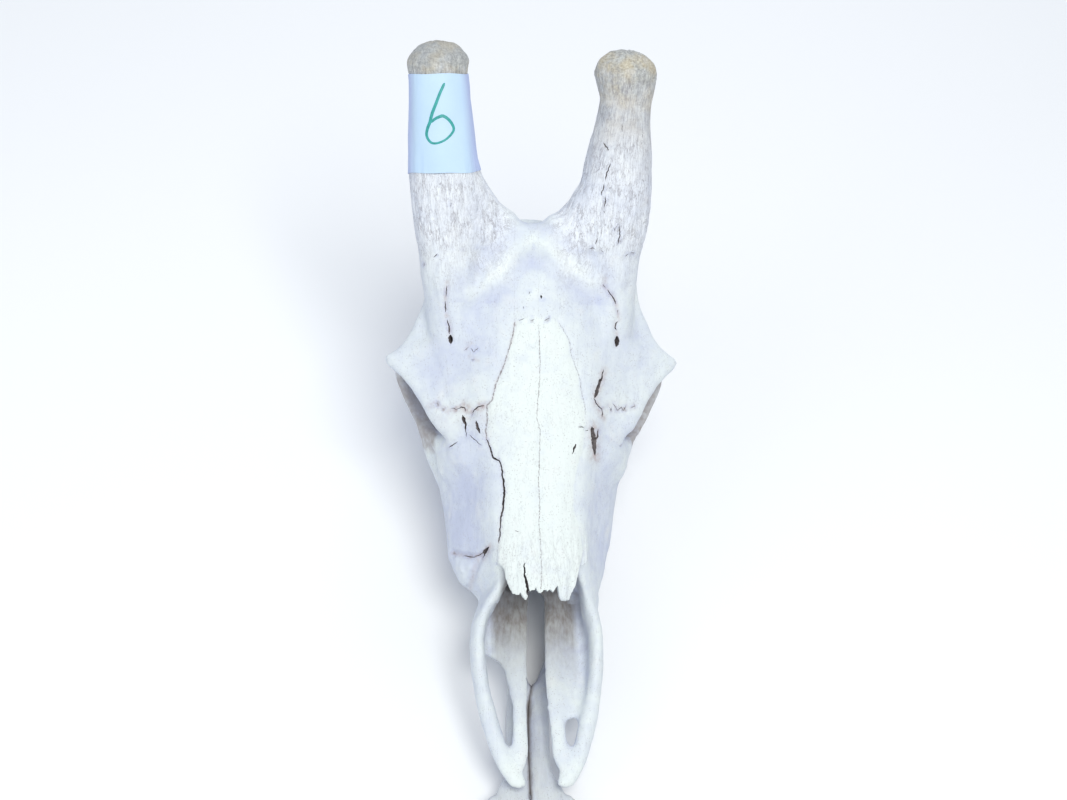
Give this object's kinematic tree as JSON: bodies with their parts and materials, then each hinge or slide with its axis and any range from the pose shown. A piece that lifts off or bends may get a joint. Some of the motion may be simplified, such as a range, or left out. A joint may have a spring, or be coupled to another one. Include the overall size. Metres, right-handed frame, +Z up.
{
  "type": "giraffe skull",
  "caption": "Still, life-size model of a giraffe's skull with its lower jaw and two blunt ossicones, one wearing a plain paper label.",
  "frame": {"origin": "middle of the skull's bounding box, on the level that the lower jaw rests on", "axes": "+X to the animal's left, across the skull; -Y towards the muzzle, along the skull; +Z up, from the lower jaw to the ossicones"},
  "size_m": [0.2559, 0.5716, 0.3854],
  "materials": {
    "bone": "matte",
    "horn_bone": "matte",
    "paper": "matte"
  },
  "bodies": {
    "root": {"cranium": "bone", "lacrimal_left": "bone", "lacrimal_right": "bone", "nasal_left": "bone", "nasal_right": "bone", "maxilla_left": "bone", "maxilla_right": "bone", "premaxilla_left": "bone", "premaxilla_right": "bone", "mandible_left": "bone", "mandible_right": "bone", "ossicone_left": "horn_bone", "ossicone_right": "horn_bone", "paper_label": "paper"}
  },
  "joints": []
}
